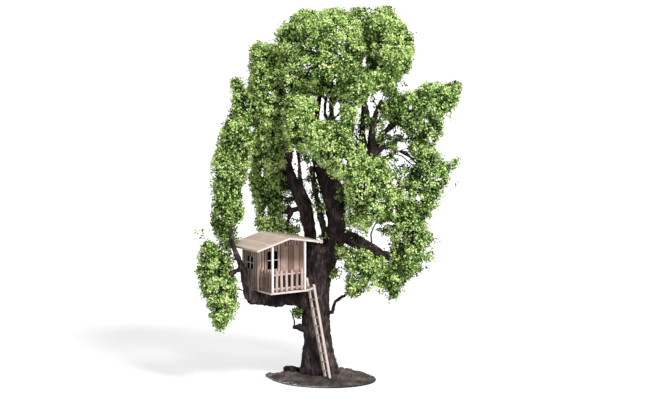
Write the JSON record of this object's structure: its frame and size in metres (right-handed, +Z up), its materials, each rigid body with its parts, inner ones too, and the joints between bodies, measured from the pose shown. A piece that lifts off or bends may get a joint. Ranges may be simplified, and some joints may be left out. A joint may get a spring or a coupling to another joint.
{
  "type": "model tree house",
  "caption": "Scale model of a small railed wooden tree house with a ladder, set on the lowest big limb of a leafy handmade tree on a ground plate.",
  "frame": {"origin": "under the middle of the trunk, on the underside of the ground plate", "axes": "+Z up; the house front and its porch face -Y, its left wall faces -X"},
  "size_m": [0.2507, 0.1743, 0.375],
  "materials": {
    "bark": "matte",
    "ground": "matte",
    "leaves": "matte",
    "wall_board": "matte",
    "roof_board": "matte",
    "pale_strip": "matte"
  },
  "bodies": {
    "tree": {"back_foliage": "leaves", "back_limbs": "bark", "back_wall": "wall_board", "corner_strips": "pale_strip", "crown_foliage": "leaves", "deck": "wall_board", "door_header": "wall_board", "door_side_wall": "wall_board", "far_left_foliage": "leaves", "front_limbs": "bark", "front_railing": "pale_strip", "front_wall": "wall_board", "ground_plate": "ground", "hanging_left_foliage": "leaves", "hanging_twig": "bark", "house_limb": "bark", "ladder_back_stile": "pale_strip", "ladder_front_stile": "pale_strip", "ladder_rungs": "pale_strip", "left_leader": "bark", "left_middle_foliage": "leaves", "left_shoulder_foliage": "leaves", "left_wall": "wall_board", "low_right_limb": "bark", "middle_foliage": "leaves", "porch_posts": "pale_strip", "right_arm_foliage": "leaves", "right_arm_limb": "bark", "right_crown_foliage": "leaves", "right_leader": "bark", "right_low_foliage": "leaves", "right_middle_foliage": "leaves", "right_side_foliage": "leaves", "right_wall": "wall_board", "rising_limb": "bark", "roof_left": "roof_board", "roof_right": "roof_board", "root_stub": "bark", "side_railing": "pale_strip", "skirt_foliage": "leaves", "trunk": "bark", "trunk_twigs": "bark", "tufts": "leaves", "upper_right_limb": "bark"},
    "door_leaf": {"door": "wall_board"}
  },
  "joints": [
    {"name": "door_hinge", "type": "hinge", "parent": "tree", "child": "door_leaf", "pos_m": [-0.02615, 0.0011, 0.117], "axis": [0, 0, -1], "range_deg": [0, 90]}
  ]
}
